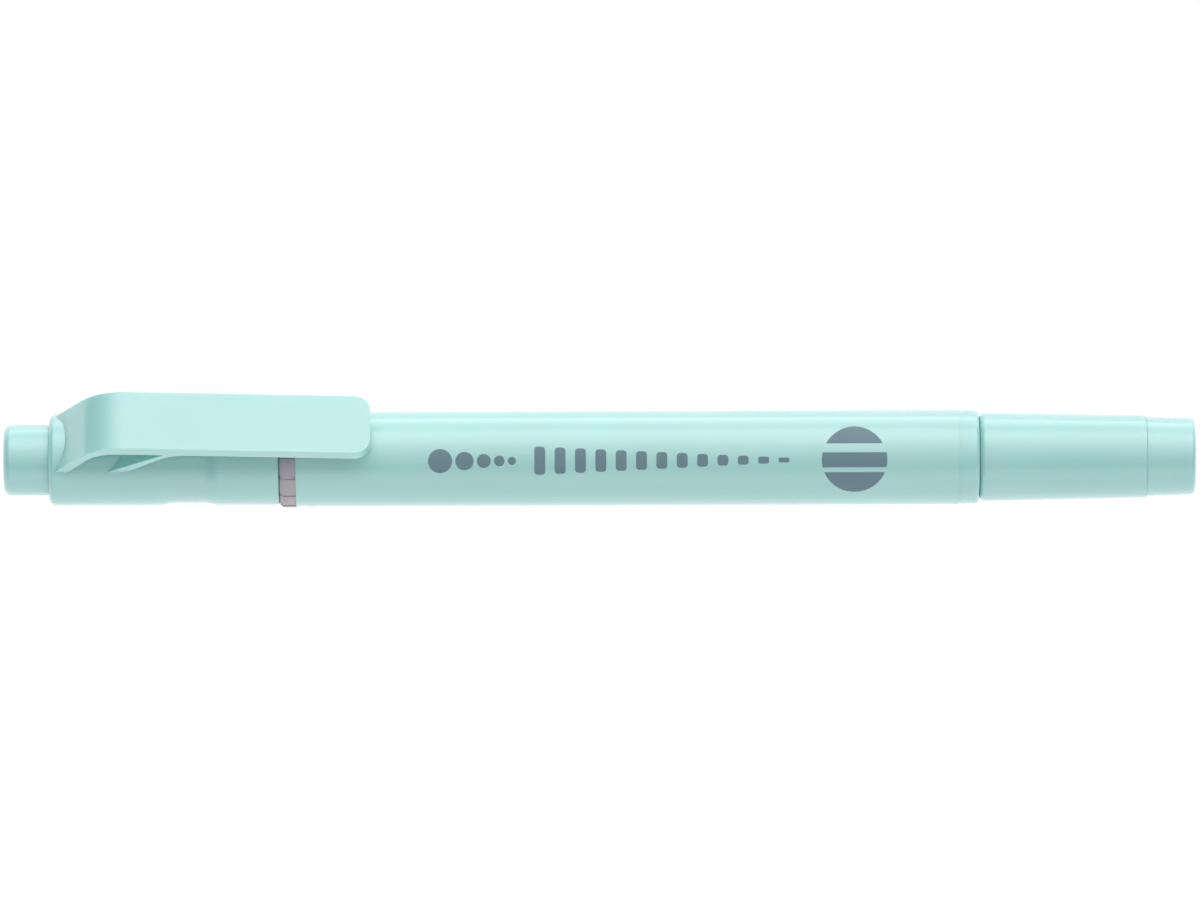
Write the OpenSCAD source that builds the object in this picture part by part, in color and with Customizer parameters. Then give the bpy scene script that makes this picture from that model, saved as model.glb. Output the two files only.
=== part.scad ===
// Twin-tip highlighter: broad flexible chisel tip under the big cap with the pocket clip, fine tip under
// the small cap. Lying on its side with the clip on top: +X runs from the big cap to the small cap,
// +Z is up, and the origin is on the surface under the middle of the pen. Millimetres.

/* [Overall] */
// Length over both caps
overall_len = 144; // [142:0.5:148]
// Gap between the big cap's rim and the grey ring
seat_gap = 0.05; // [0.02:0.01:0.1]
// Gap between the barrel's end and the small cap's rim
neck_gap = 0.06; // [0.04:0.01:0.2]

/* [Barrel] */
// Radius of the bare barrel
barrel_r = 5.67; // [5.6:0.01:5.7]
// Radius of the bore through the barrel
barrel_bore_r = 4.55; // [4.5:0.01:4.6]
// Rounding of the barrel's bare end
barrel_edge_r = 0.5; // [0.2:0.05:0.6]
// Length of the barrel's end that the printed film leaves bare
bare_end_len = 2.49; // [1:0.01:4]
// Thickness of the printed film
film_t = 0.06; // [0.04:0.01:0.08]
// Number of ribs in the bore that centre the reservoir
rib_count = 6; // [4:1:8]
// Width of one rib
rib_w = 0.6; // [0.4:0.1:0.8]

/* [Grey chisel holder] */
// Radius of the grooved ring
ring_r = 5.83; // [5.8:0.01:5.9]
// Width of the grooved ring
ring_w = 1.85; // [1.6:0.01:2.4]
// Height of the bevel on the ring's edge next to the cap
ring_bevel = 0.3; // [0.1:0.05:0.4]
// Number of grooves round the ring
groove_count = 14; // [12:1:18]
// Width of one groove
groove_w = 0.42; // [0.2:0.02:0.6]
// Depth of one groove
groove_d = 0.1; // [0.05:0.01:0.15]
// Radius of the spigot that the big cap fits over
spigot_r = 4.68; // [4.6:0.01:4.7]
// Length of that spigot
spigot_len = 9.05; // [8:0.05:9.2]
// Radius of the nose that the inner cap seals on
nose_r = 3.47; // [3.4:0.01:3.5]
// Distance from the ring to the holder's mouth
mouth_reach = 17.95; // [17.5:0.05:18.5]

/* [Chisel nib] */
// Width of the broad nib
nib_w = 4.4; // [4:0.1:4.6]
// Thickness of the broad nib
nib_t = 2.5; // [2.2:0.1:2.6]
// Length of nib that stands out of the holder
nib_out = 5.5; // [4.5:0.1:6]
// How much shorter the nib's heel is than its toe
nib_slant = 1.8; // [1:0.1:2.2]
// Thickness left at the nib's writing edge
nib_edge_t = 1.2; // [0.8:0.1:1.4]

/* [Big cap] */
// Radius of the cap's shell
cap_r = 5.53; // [5.5:0.01:5.6]
// Length of the cap's shell
cap_len = 27.85; // [27.5:0.05:28.5]
// Rounding of the shell's closed edge
cap_edge_r = 0.75; // [0.5:0.05:0.9]
// Rounding of the shell's open rim
cap_rim_r = 0.35; // [0.2:0.05:0.4]
// Radius of the bore at the shell's mouth
cap_bore_r = 4.82; // [4.8:0.01:4.85]
// Depth of the finger waist round the shell
waist_depth = 0.29; // [0.1:0.01:0.35]
// Radius of the post, the inner cap's end that stands out of the shell
post_r = 4.3; // [4.2:0.01:4.35]
// Length of the post
post_len = 5.55; // [5:0.05:6]
// Rounding of the post's end
post_edge_r = 0.85; // [0.5:0.05:1]
// Radius of the inner cap's bore
inner_bore_r = 3.55; // [3.52:0.01:3.6]

/* [Clip] */
// Width of the clip
clip_w = 7.7; // [7:0.1:8.4]
// Thickness of the clip's plate
clip_t = 1.6; // [1.4:0.05:1.8]
// Height of the clip's highest point above the pen's axis
clip_top = 10.15; // [10:0.05:10.4]
// How far the clip's tip reaches past the cap's rim
clip_past_rim = 11.02; // [9:0.1:13]
// Slope of the plate towards its tip, in degrees
clip_fall = 2.6; // [2:0.1:3]
// Corner radius of the tip, seen from above
clip_corner_r = 1.9; // [1:0.1:2.5]
// Clearance between the clip's contact rib and the printed film
clip_rib_gap = 0.3; // [0.2:0.05:0.5]

/* [Small cap] */
// Length of the small cap's shell
small_len = 20.15; // [19.5:0.05:21]
// Radius of the shell at its open rim
small_rim_r = 5.35; // [5.3:0.01:5.4]
// Radius of the shell at its far end
small_end_r = 4.98; // [4.9:0.01:5.05]
// Radius of the bore at the shell's mouth
small_bore_r = 4.45; // [4.42:0.01:4.5]
// Length of the tail that shows beyond the shell
tail_len = 5.97; // [5.5:0.01:6.5]
// Radius of the tail where it leaves the shell
tail_r = 4.8; // [4.7:0.01:4.8]
// Radius of the tail near its end
tail_end_r = 4.63; // [4.5:0.01:4.65]

/* [Fine holder and nib] */
// Radius of the spigot that the small cap fits over
fine_spigot_r = 4.35; // [4.3:0.01:4.37]
// Radius of the nose that the small cap's plug seals on
fine_nose_r = 2.95; // [2.9:0.01:3]
// Radius of the fine nib
fine_nib_r = 1.1; // [0.9:0.05:1.2]
// Length of nib that stands out of the fine holder
fine_nib_out = 3; // [2:0.1:3.2]

/* [Reservoir] */
// Radius of the fibre rod
rod_r = 3.95; // [3.8:0.01:3.97]
// Thickness of its clear wrap
wrap_t = 0.1; // [0.05:0.01:0.12]
// How far each nib's stem goes into the fibre
stem_bite = 4; // [3:0.5:6]

/* [Hidden] */
turn_fn = 96;
arc_steps = 6;
mint = [0.70, 0.89, 0.88];
mint_dark = [0.60, 0.83, 0.82];
grey = [0.66, 0.66, 0.69];
fibre = [0.80, 0.93, 0.88];
clear_wrap = [0.88, 0.92, 0.95];

// Height of the pen's axis: the pen lies on the two edges of the ring's lowest groove
axis_z = sqrt(pow(ring_r, 2) - pow(groove_w / 2, 2));

// Stations along the pen, from the big cap's post to the small cap's tail
post_x = -overall_len / 2;
cap_x0 = post_x + post_len;
cap_x1 = cap_x0 + cap_len;
ring_x0 = cap_x1 + seat_gap;
ring_x1 = ring_x0 + ring_w;
tail_x1 = overall_len / 2;
tail_x0 = tail_x1 - tail_len;
small_x0 = tail_x0 - small_len;
barrel_x1 = small_x0 - neck_gap;
film_x1 = barrel_x1 - bare_end_len;
film_gap = 0.05;

// Inner cap: a thicker seat inside the shell, a flange at its mouth that seats on a step in the shell,
// and a faintly domed end
slip = 0.03;
post_seat_r = post_r + 0.2;
post_dome = 0.1;
inner_lead_in = 0.4;
flange_x0 = cap_x1 - 13.4;
flange_len = 1.6;
flange_r = cap_bore_r - 0.04;
inner_end_t = 1.6;
inner_corner = 0.5;

// Finger waist round the big cap's shell: the slope in, the flat and the slope out
waist_x = cap_x0 + 12.8;
waist_in_len = 2.5;
waist_flat_len = 3.4;
waist_out_len = 1.9;

// Lead-in at the mouth of each cap's bore
lead_in = [0.2, 0.3];

// Snap bead on each spigot, and the groove in the cap that it sits in
bead_h = 0.06;
bead_w = 0.5;
bead_x = ring_x0 - 3.95;
fine_bead_h = 0.04;
fine_bead_x = barrel_x1 + 3.9;
snap_groove_d = 0.1;

// Chisel holder
plug_r = barrel_bore_r - slip;
plug_len = 9;
ring_bevel_len = ring_bevel * 1.3;
holder_bore_r = 3.75;
mouth_x = ring_x0 - mouth_reach;
mouth_r = 3.05;
mouth_bevel = 0.2;
mouth_taper_len = 2.9;
nose_end = 6.7;
holder_floor = 10;
shoulder_h = 0.4;
shoulder_len = 0.5;
slot_gap = 0.05;
nib_seat_gap = 0.05;
nib_taper_len = 3.2;
nib_toe = [0.2, 0.4];

// Fine holder
fine_mouth_x = barrel_x1 + 16.84;
fine_bore_end = 6.4;
fine_shoulder_x = barrel_x1 + 8.4;
fine_nose_x = barrel_x1 + 10.3;
fine_cone_len = 3.2;
fine_lip_w = 0.65;
fine_slip = 0.02;
fine_point_r = 0.4;
stem_point_len = 1;
fine_bore_r = 3.6;
fine_plug_x0 = barrel_x1 - 9.36;

// Small cap: bevels of its shell, and the plug's sleeve, bore and domed end
small_bevel = [0.4, 0.45];
small_end_bevel = 0.08;
sleeve_relief = 0.3;
tail_dome = 0.12;
tail_corner = 0.4;
tail_sleeve_r = 4.12;
tail_sleeve_x0 = barrel_x1 + 10.9;
tail_bore_r = 3.05;
tail_end_t = 1.6;
tail_edge_r = 0.5;

// Reservoir
rod_x0 = ring_x1 + plug_len + 0.6;
rod_x1 = fine_plug_x0 - 0.5;
wrap_r = rod_r + wrap_t;
rib_clear = 0.05;
rib_sink = 0.15;

// Clip, as stations and heights above the axis: the ramp of its first leg, its second leg (the brace),
// the open triangle between them, and the hinge line where the free plate starts
crest_x = cap_x0 + 9.2;
ramp_arc_r = 6.9;
ramp_slope = 50;
leg_arc_r = 4.2;
leg_slope = 52;
leg_back = 1.2;
brace_arc_r = 5;
brace_slope = 38;
brace_back = 0.6;
tunnel_slope = 32.2;
tunnel_back = 3.1;
tunnel_drop = 0.17;
foot_h = 3.2;
hinge_x = cap_x1 - 10.7;
hinge_h = clip_top - clip_t / 2 - (hinge_x - crest_x) * tan(clip_fall);
half_plate_h = clip_t / 2 / cos(clip_fall);
hinge_seat_gap = 0.05;
knuckle_inset = 0.02;
clip_reach = cap_x1 + clip_past_rim - hinge_x;
rib_back = 2.2;
rib_x = cap_x1 + clip_past_rim - rib_back;
rib_len = 5;
shell_core_r = 5;

// Points along an arc, from angle a0 to angle a1
function arc(centre, r, a0, a1) =
    [for (i = [0:arc_steps]) let (a = a0 + (a1 - a0) * i / arc_steps) centre + r * [cos(a), sin(a)]];

// Solid turned round the pen's axis from an outline of [radius, station] points
module turned(outline) {
    translate([0, 0, axis_z])
        rotate([0, 90, 0])
            rotate_extrude($fn = turn_fn)
                polygon(outline);
}

// Bar across the pen: a cylinder along Y at a station and a height above the axis
module cross_bar(x, h, r, len) {
    translate([x, len / 2, axis_z + h])
        rotate([90, 0, 0])
            cylinder(h = len, r = r, $fn = turn_fn);
}

// Side outline of [station, height above the axis] points, made as wide as the clip
module across(outline, w) {
    translate([0, w / 2, axis_z])
        rotate([90, 0, 0])
            linear_extrude(height = w)
                polygon(outline);
}

// Rectangular bar along the pen, centred on its axis
module bar(x0, x1, w, t) {
    translate([x0, -w / 2, axis_z - t / 2])
        cube([x1 - x0, w, t]);
}

// Barrel: a straight tube with a rounded bare end and centring ribs round the reservoir
module barrel() {
    color(mint) {
        turned(concat(
            [[barrel_bore_r, ring_x1], [barrel_r, ring_x1]],
            arc([barrel_r - barrel_edge_r, barrel_x1 - barrel_edge_r], barrel_edge_r, 0, 90),
            [[barrel_bore_r, barrel_x1]]
        ));
        for (i = [0:rib_count - 1])
            translate([rod_x0 + 1, 0, axis_z])
                rotate([360 / rib_count * (i + 0.5), 0, 0])
                    translate([0, -rib_w / 2, wrap_r + rib_clear])
                        cube([rod_x1 - rod_x0 - 2, rib_w, barrel_bore_r - wrap_r + rib_sink]);
    }
}

// Printed film shrunk on the barrel
module label_film() {
    color(mint)
        turned([
            [barrel_r, ring_x1 + film_gap],
            [barrel_r + film_t, ring_x1 + film_gap],
            [barrel_r + film_t, film_x1],
            [barrel_r, film_x1]
        ]);
}

// Grey holder: plug in the barrel, grooved ring, spigot with a snap bead, and nose with the nib's slot
module chisel_holder() {
    color(grey)
        difference() {
            turned([
                [0, mouth_x],
                [mouth_r - mouth_bevel, mouth_x],
                [mouth_r, mouth_x + mouth_bevel],
                [nose_r, mouth_x + mouth_taper_len],
                [nose_r, mouth_x + nose_end],
                [spigot_r - shoulder_h, ring_x0 - spigot_len - shoulder_len],
                [spigot_r, ring_x0 - spigot_len],
                [spigot_r, bead_x - bead_w],
                [spigot_r + bead_h, bead_x - bead_w / 2],
                [spigot_r + bead_h, bead_x + bead_w / 2],
                [spigot_r, bead_x + bead_w],
                [spigot_r, ring_x0],
                [ring_r - ring_bevel, ring_x0],
                [ring_r, ring_x0 + ring_bevel_len],
                [ring_r, ring_x1],
                [plug_r, ring_x1],
                [plug_r, ring_x1 + plug_len],
                [holder_bore_r, ring_x1 + plug_len],
                [holder_bore_r, mouth_x + holder_floor],
                [0, mouth_x + holder_floor]
            ]);
            bar(mouth_x - 1, mouth_x + holder_floor + 1, nib_w + 2 * slot_gap, nib_t + 2 * slot_gap);
            for (i = [0:groove_count - 1])
                translate([0, 0, axis_z])
                    rotate([360 / groove_count * i, 0, 0])
                        translate([ring_x0 - 1, -groove_w / 2, ring_r - groove_d])
                            cube([ring_w + 2, groove_w, 1]);
        }
}

// Stem of the broad nib, from its bending line in the holder's mouth into the reservoir
module chisel_nib_stem() {
    color(fibre)
        difference() {
            across([
                [mouth_x, -nib_t / 2],
                [rod_x0 + stem_bite - stem_point_len, -nib_t / 2],
                [rod_x0 + stem_bite, -nib_t / 6],
                [rod_x0 + stem_bite, nib_t / 6],
                [rod_x0 + stem_bite - stem_point_len, nib_t / 2],
                [mouth_x, nib_t / 2]
            ], nib_w);
            cross_bar(mouth_x, 0, nib_t / 2 + nib_seat_gap, nib_w + 1);
        }
}

// Working end of the broad nib: bevelled to an edge, cut on a slant, and round at its bending line
module chisel_nib() {
    color(fibre) {
        cross_bar(mouth_x, 0, nib_t / 2 - knuckle_inset, nib_w);
        intersection() {
            across([
                [mouth_x, -nib_t / 2],
                [mouth_x, nib_t / 2],
                [mouth_x - nib_out + nib_taper_len, nib_t / 2],
                [mouth_x - nib_out, nib_edge_t / 2],
                [mouth_x - nib_out, -nib_edge_t / 2],
                [mouth_x - nib_out + nib_taper_len, -nib_t / 2]
            ], nib_w);
            translate([0, 0, axis_z - nib_t])
                linear_extrude(height = 2 * nib_t)
                    polygon([
                        [mouth_x + nib_t, -nib_w / 2],
                        [mouth_x + nib_t, nib_w / 2],
                        [mouth_x - nib_out + nib_slant, nib_w / 2],
                        [mouth_x - nib_out, -nib_w / 2 + nib_toe[1]],
                        [mouth_x - nib_out + nib_toe[0], -nib_w / 2]
                    ]);
        }
    }
}

// Fibre rod with a pocket at each end for a nib's stem
module ink_reservoir() {
    color(fibre)
        difference() {
            turned([[0, rod_x0], [rod_r, rod_x0], [rod_r, rod_x1], [0, rod_x1]]);
            bar(rod_x0 - 1, rod_x0 + stem_bite, nib_w, nib_t);
            turned([
                [0, rod_x1 - stem_bite],
                [fine_nib_r, rod_x1 - stem_bite],
                [fine_nib_r, rod_x1 + 1],
                [0, rod_x1 + 1]
            ]);
        }
}

// Clear wrap round the fibre rod
module reservoir_film() {
    color(clear_wrap)
        turned([[rod_r, rod_x0], [wrap_r, rod_x0], [wrap_r, rod_x1], [rod_r, rod_x1]]);
}

// Fine holder: plug in the barrel, spigot with a snap bead, and nose with the nib's bore
module fine_holder() {
    color(mint_dark)
        turned([
            [fine_bore_r, fine_plug_x0],
            [plug_r, fine_plug_x0],
            [plug_r, barrel_x1],
            [fine_spigot_r, barrel_x1],
            [fine_spigot_r, fine_bead_x - bead_w],
            [fine_spigot_r + fine_bead_h, fine_bead_x - bead_w / 2],
            [fine_spigot_r + fine_bead_h, fine_bead_x + bead_w / 2],
            [fine_spigot_r, fine_bead_x + bead_w],
            [fine_spigot_r, fine_shoulder_x - shoulder_len],
            [fine_spigot_r - shoulder_h, fine_shoulder_x],
            [fine_nose_r, fine_nose_x],
            [fine_nose_r, fine_mouth_x - fine_cone_len],
            [fine_nib_r + fine_lip_w, fine_mouth_x],
            [fine_nib_r + fine_slip, fine_mouth_x],
            [fine_nib_r + fine_slip, barrel_x1 + fine_bore_end],
            [fine_bore_r, barrel_x1 + fine_bore_end]
        ]);
}

// Fine nib: a round fibre rod with a tapered, rounded point
module fine_nib() {
    color(fibre)
        turned(concat(
            [
                [0, rod_x1 - stem_bite],
                [fine_nib_r / 2, rod_x1 - stem_bite],
                [fine_nib_r, rod_x1 - stem_bite + stem_point_len],
                [fine_nib_r, fine_mouth_x + 0.4]
            ],
            arc([0, fine_mouth_x + fine_nib_out - fine_point_r], fine_point_r, 10, 90)
        ));
}

// Turned part of the big cap's shell: rounded edges, finger waist, and a stepped bore with a snap groove
module cap_tube() {
    turned(concat(
        [[post_seat_r + slip, cap_x0]],
        arc([cap_r - cap_edge_r, cap_x0 + cap_edge_r], cap_edge_r, -90, 0),
        [
            [cap_r, waist_x],
            [cap_r - waist_depth, waist_x + waist_in_len],
            [cap_r - waist_depth, waist_x + waist_in_len + waist_flat_len],
            [cap_r, waist_x + waist_in_len + waist_flat_len + waist_out_len]
        ],
        arc([cap_r - cap_rim_r, cap_x1 - cap_rim_r], cap_rim_r, 0, 90),
        [
            [cap_bore_r + lead_in[0], cap_x1],
            [cap_bore_r, cap_x1 - lead_in[1]],
            [cap_bore_r, bead_x + 2 * bead_w],
            [cap_bore_r + snap_groove_d, bead_x + bead_w],
            [cap_bore_r + snap_groove_d, bead_x - bead_w],
            [cap_bore_r, bead_x - 2 * bead_w],
            [cap_bore_r, flange_x0],
            [post_seat_r + slip, flange_x0]
        ]
    ));
}

// Point where the straight that runs through a point, rising at a slope, meets a height
function foot(point, slope, h) = [point[0] - (point[1] - h) / tan(slope), h];

// Clip's legs and the plate's root, up to the hinge line, standing on the shell
module clip_root() {
    ramp_c = [crest_x, clip_top - ramp_arc_r];
    ramp_end = ramp_c + ramp_arc_r * [-sin(ramp_slope), cos(ramp_slope)];
    brace_top = [hinge_x - brace_back, hinge_h + brace_back * tan(clip_fall) - half_plate_h];
    brace_c = brace_top - [0, brace_arc_r];
    brace_end = brace_c + brace_arc_r * [-sin(brace_slope), cos(brace_slope)];
    difference() {
        across(concat(
            [foot(brace_end, brace_slope, foot_h), foot(ramp_end, ramp_slope, foot_h)],
            arc(ramp_c, ramp_arc_r, 90 + ramp_slope, 90 - clip_fall),
            [[hinge_x, hinge_h + half_plate_h], [hinge_x, hinge_h - half_plate_h]],
            arc(brace_c, brace_arc_r, 90, 90 + brace_slope)
        ), clip_w);
        clip_tunnel();
        translate([0, 0, axis_z])
            rotate([0, 90, 0])
                cylinder(h = overall_len, r = shell_core_r, center = true, $fn = turn_fn);
        cross_bar(hinge_x, hinge_h, clip_t / 2 + hinge_seat_gap, clip_w + 1);
    }
}

// Open triangle between the two legs, right across the clip
module clip_tunnel() {
    leg_c = [crest_x - leg_back, clip_top - clip_t - leg_arc_r];
    leg_end = leg_c + leg_arc_r * [-sin(leg_slope), cos(leg_slope)];
    tunnel_tip = [hinge_x - tunnel_back, clip_top - clip_t - tunnel_drop];
    across(concat(
        [foot(leg_end, leg_slope, foot_h)],
        arc(leg_c, leg_arc_r, 90 + leg_slope, 90),
        [tunnel_tip, foot(tunnel_tip, tunnel_slope, foot_h)]
    ), clip_w + 1);
}

// Big cap's shell, with the clip's legs standing on it
module cap_shell() {
    color(mint) {
        cap_tube();
        clip_root();
    }
}

// Plan outline of the clip's plate, with its hinge line at zero and rounded corners at the tip
module clip_plan() {
    corner = [clip_reach - clip_corner_r, clip_w / 2 - clip_corner_r];
    polygon(concat(
        [[0, -clip_w / 2]],
        arc([corner[0], -corner[1]], clip_corner_r, -90, 0),
        arc(corner, clip_corner_r, 0, 90),
        [[0, clip_w / 2]]
    ));
}

// Clip: the springing plate, round at its hinge line, with a contact rib under the tip
module clip() {
    rib_h = hinge_h - (rib_x - hinge_x) * tan(clip_fall) - clip_t / 2;
    rib_r = rib_h - barrel_r - film_t - clip_rib_gap;
    color(mint) {
        cross_bar(hinge_x, hinge_h, clip_t / 2 - knuckle_inset, clip_w);
        translate([hinge_x, 0, axis_z + hinge_h])
            rotate([0, clip_fall, 0])
                translate([0, 0, -clip_t / 2])
                    linear_extrude(height = clip_t)
                        clip_plan();
        difference() {
            cross_bar(rib_x, rib_h, rib_r, rib_len);
            translate([rib_x - 5, -clip_w, axis_z + rib_h + clip_t / 2])
                cube([10, 2 * clip_w, 5]);
        }
    }
}

// Inner cap: a closed tube with a flange at its mouth; its end is the post
module inner_cap() {
    bottom_x = post_x + inner_end_t;
    color(mint)
        turned(concat(
            [[0, post_x]],
            arc([post_r - post_edge_r, post_x + post_dome + post_edge_r], post_edge_r, -90, 0),
            [
                [post_r, cap_x0],
                [post_seat_r, cap_x0],
                [post_seat_r, flange_x0],
                [flange_r, flange_x0],
                [flange_r, flange_x0 + flange_len],
                [inner_bore_r + inner_lead_in, flange_x0 + flange_len],
                [inner_bore_r, flange_x0 + flange_len - inner_lead_in],
                [inner_bore_r, bottom_x + inner_corner],
                [inner_bore_r - inner_corner, bottom_x],
                [0, bottom_x]
            ]
        ));
}

// Small cap's shell: a tapered tube with a snap groove, a step for the plug, and a bevelled rim
module small_cap_shell() {
    color(mint)
        turned([
            [small_bore_r + lead_in[0], small_x0],
            [small_rim_r - small_bevel[0], small_x0],
            [small_rim_r, small_x0 + small_bevel[1]],
            [small_end_r, tail_x0 - small_end_bevel],
            [small_end_r - small_end_bevel, tail_x0],
            [tail_sleeve_r + slip, tail_x0],
            [tail_sleeve_r + slip, tail_sleeve_x0 - sleeve_relief],
            [small_bore_r, tail_sleeve_x0 - sleeve_relief],
            [small_bore_r, fine_bead_x + 2 * bead_w],
            [small_bore_r + snap_groove_d, fine_bead_x + bead_w],
            [small_bore_r + snap_groove_d, fine_bead_x - bead_w],
            [small_bore_r, fine_bead_x - 2 * bead_w],
            [small_bore_r, small_x0 + lead_in[1]]
        ]);
}

// Small cap's plug: a sleeve that seals on the fine holder's nose, and the tail that shows
module small_cap_tail() {
    bottom_x = tail_x1 - tail_end_t;
    color(mint)
        turned(concat(
            [
                [tail_bore_r + lead_in[1], tail_sleeve_x0],
                [tail_sleeve_r, tail_sleeve_x0],
                [tail_sleeve_r, tail_x0],
                [tail_r, tail_x0]
            ],
            arc([tail_end_r - tail_edge_r, tail_x1 - tail_dome - tail_edge_r], tail_edge_r, 0, 90),
            [
                [0, tail_x1],
                [0, bottom_x],
                [tail_bore_r - tail_corner, bottom_x],
                [tail_bore_r, bottom_x - tail_corner],
                [tail_bore_r, tail_sleeve_x0 + lead_in[1]]
            ]
        ));
}

barrel();
label_film();
chisel_holder();
chisel_nib_stem();
chisel_nib();
ink_reservoir();
reservoir_film();
fine_holder();
fine_nib();
cap_shell();
clip();
inner_cap();
small_cap_shell();
small_cap_tail();
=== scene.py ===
# %% [markdown]
# A slim highlighter with a tip at each end lies on its side with its pocket clip on top. Everything is
# built around a imported CAD model, so the script first loads that model as a fixed frame. The frame
# already has the right sizes and places, and each new piece is fitted to it: it takes the place of a
# CAD node, and most pieces ride on the same body, so they move when that body moves.

# %% Load the frame
import math
import bmesh
import bpy
from mathutils import Matrix, Vector


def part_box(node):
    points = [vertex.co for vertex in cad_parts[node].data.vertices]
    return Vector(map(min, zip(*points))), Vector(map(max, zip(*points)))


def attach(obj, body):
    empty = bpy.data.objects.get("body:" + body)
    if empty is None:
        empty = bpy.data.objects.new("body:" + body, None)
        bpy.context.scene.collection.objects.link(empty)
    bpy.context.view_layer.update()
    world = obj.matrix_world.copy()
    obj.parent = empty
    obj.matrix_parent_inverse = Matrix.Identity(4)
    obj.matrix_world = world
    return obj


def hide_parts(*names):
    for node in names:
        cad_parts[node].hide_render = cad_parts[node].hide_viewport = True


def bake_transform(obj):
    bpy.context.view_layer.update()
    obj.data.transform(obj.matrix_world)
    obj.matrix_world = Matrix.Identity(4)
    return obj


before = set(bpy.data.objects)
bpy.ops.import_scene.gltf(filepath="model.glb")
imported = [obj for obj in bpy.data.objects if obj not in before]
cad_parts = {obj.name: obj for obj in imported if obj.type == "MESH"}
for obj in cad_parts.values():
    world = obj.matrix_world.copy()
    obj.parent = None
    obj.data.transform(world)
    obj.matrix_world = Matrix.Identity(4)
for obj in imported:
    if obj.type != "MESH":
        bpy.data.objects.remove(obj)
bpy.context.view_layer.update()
MM = 0.001

# %% [markdown]
# Nearly every piece of a pen is turned: it is round about one axis. Its sizes are easiest to read as
# radii and as stations along that axis, so this cell takes both from the boxes of the CAD nodes, in
# millimetres. Reading them from the frame means the looks can never drift away from the design.

# %% Stations and radii read from the frame
def ends(node):
    """First and last station of a CAD node along the pen, in millimetres."""
    low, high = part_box(node)
    return low.x / MM, high.x / MM


def radius(node):
    """Largest radius of a round CAD node, in millimetres."""
    low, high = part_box(node)
    return (high.y - low.y) / 2 / MM


film_low, film_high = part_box("label_film")
AXIS = (film_low.z + film_high.z) / 2 / MM
FILM_R = radius("label_film")
BARREL_R = radius("barrel")
CAP_R = radius("cap_shell")
RING_R = radius("chisel_holder")
POST_X, INNER_MOUTH_X = ends("inner_cap")
CAP_X0, CAP_X1 = ends("cap_shell")
MOUTH_X, HOLDER_X1 = ends("chisel_holder")
BARREL_X0, BARREL_X1 = ends("barrel")
FILM_X0, FILM_X1 = ends("label_film")
FINE_X0, FINE_MOUTH_X = ends("fine_holder")
SMALL_X0, SMALL_X1 = ends("small_cap_shell")
SLEEVE_X0, TAIL_X = ends("small_cap_tail")
NIB_X, _ = ends("chisel_nib")
_, STEM_X1 = ends("chisel_nib_stem")
FINE_NIB_X0, FINE_TIP_X = ends("fine_nib")
_, CLIP_TIP_X = ends("clip")
RING_GAP = 0.05
RING_X0 = CAP_X1 + RING_GAP
HUB_R = 0.3  # the small face that closes a solid piece on the axis
print(f"axis {AXIS:.2f} mm above the table, pen from {POST_X:.2f} to {TAIL_X:.2f} mm")

# %% [markdown]
# A lathe makes turned pieces, and edit mode can copy it: a ring of vertices is extruded along the axis
# and scaled about it, again and again, until it has drawn the whole outline. A hollow piece ends where
# it began and is merged there. A piece that closes on the axis gets a small face at each end. Shading
# stays clean on long straight walls when big faces rule the normals, which is what the Weighted Normal
# modifier does.

# %% Turning a piece on the axis
def at(x, y=0.0, h=0.0):
    """A point in metres from millimetres, with its height counted from the pen's axis."""
    return Vector((x * MM, y * MM, (h + AXIS) * MM))


def only(piece):
    """Makes a piece the active one and the only one selected."""
    bpy.ops.object.select_all(action="DESELECT")
    bpy.context.view_layer.objects.active = piece
    piece.select_set(True)


def pick(piece, wanted):
    """Selects, in edit mode, the vertices for which wanted(x, y, h) is true, and what lies between them."""
    if bpy.context.mode != "OBJECT":
        bpy.ops.object.mode_set(mode="OBJECT")
    only(piece)
    bpy.ops.object.mode_set(mode="EDIT")
    bpy.ops.mesh.select_mode(type="VERT")
    bpy.ops.mesh.select_all(action="DESELECT")
    mesh = bmesh.from_edit_mesh(piece.data)
    for v in mesh.verts:
        v.select = wanted(v.co.x / MM, v.co.y / MM, v.co.z / MM - AXIS)
    mesh.select_flush(True)
    bmesh.update_edit_mesh(piece.data)


def close_up(piece):
    """Merges what met and turns every face outwards."""
    bpy.ops.mesh.select_all(action="SELECT")
    bpy.ops.mesh.remove_doubles(threshold=0.001 * MM)
    bpy.ops.mesh.normals_make_consistent(inside=False)
    bpy.ops.object.mode_set(mode="OBJECT")
    return piece


def turned(name, outline, sides=96, hollow=True):
    """Turns a piece from an outline of (radius, station) points."""
    r, x = outline[0]
    bpy.ops.object.select_all(action="DESELECT")
    bpy.ops.mesh.primitive_circle_add(
        vertices=sides, radius=r * MM, fill_type="NOTHING", location=at(x), rotation=(0, math.pi / 2, 0)
    )
    bpy.ops.object.transform_apply(location=True, rotation=True, scale=True)
    piece = bpy.context.object
    piece.name = piece.data.name = name
    bpy.ops.object.mode_set(mode="EDIT")
    bpy.ops.mesh.select_all(action="SELECT")
    if not hollow:
        bpy.ops.mesh.edge_face_add()
        bpy.ops.mesh.select_mode(type="EDGE")
    for to_r, to_x in outline[1:] + outline[:1] * hollow:
        bpy.ops.mesh.extrude_edges_move(TRANSFORM_OT_translate={"value": ((to_x - x) * MM, 0, 0)})
        bpy.ops.transform.resize(value=(1, to_r / r, to_r / r), center_override=at(to_x))
        r, x = to_r, to_x
    if not hollow:
        bpy.ops.mesh.edge_face_add()
    return close_up(piece)


NEAR = 0.004


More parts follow.
